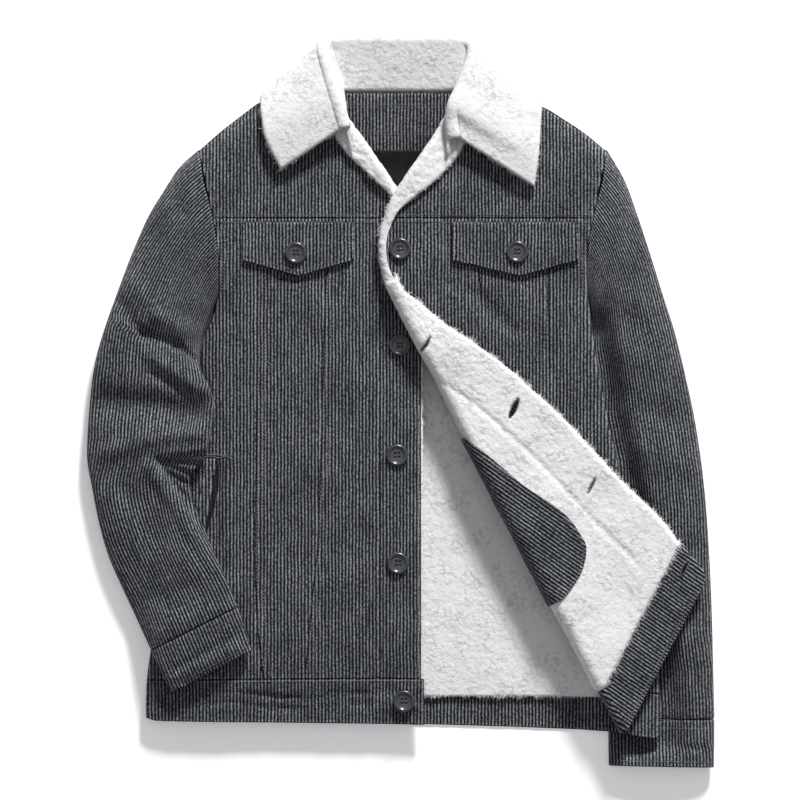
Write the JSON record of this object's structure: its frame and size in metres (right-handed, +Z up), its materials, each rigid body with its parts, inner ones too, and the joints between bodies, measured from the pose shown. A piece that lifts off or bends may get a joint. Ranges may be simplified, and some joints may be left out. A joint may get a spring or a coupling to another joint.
{
  "type": "sherpa lined corduroy jacket",
  "caption": "Corduroy jacket lying on its back, right front turned open from the second button to show a sherpa lining that also covers the turned down collar and lapels",
  "frame": {"origin": "on the surface the jacket lies on, under the middle of its bounding box", "axes": "+X to the right of a person looking down at the front, +Y from the hem to the collar, +Z up from the surface through the back to the front"},
  "size_m": [0.628, 0.7354, 0.046],
  "materials": {
    "corduroy": "matte ribbed charcoal corduroy with fine wales",
    "sherpa": "off-white curly sherpa pile",
    "button": "smooth dark grey plastic with a soft gloss",
    "label": "plain woven black label"
  },
  "bodies": {
    "root": {"back_yoke": "corduroy", "back_panel": "corduroy", "waistband_back": "corduroy", "back_lining": "sherpa", "neck_facing": "corduroy", "neck_label": "label", "front_yoke_left": "corduroy", "side_panel_left": "corduroy", "mid_panel_left": "corduroy", "centre_panel_left": "corduroy", "placket_left": "corduroy", "waistband_front_left": "corduroy", "front_lining_left": "sherpa", "front_yoke_right": "corduroy", "centre_panel_right": "corduroy", "mid_panel_right": "corduroy", "side_panel_right": "corduroy", "waistband_front_right": "corduroy", "front_turned": "corduroy", "lining_turned": "sherpa", "waistband_turned": "corduroy", "pocket_bag": "corduroy", "lapel_left": "sherpa", "lapel_right": "sherpa", "collar": "sherpa", "sleeve_left_top": "corduroy", "sleeve_left_under": "corduroy", "cuff_left": "corduroy", "sleeve_right_top": "corduroy", "sleeve_right_under": "corduroy", "cuff_right": "corduroy", "flap_left": "corduroy", "flap_right": "corduroy", "pocket_welt_left": "corduroy", "button_1": "button", "button_2": "button", "button_3": "button", "button_4": "button", "button_5": "button", "flap_button_left": "button", "flap_button_right": "button"}
  },
  "joints": []
}
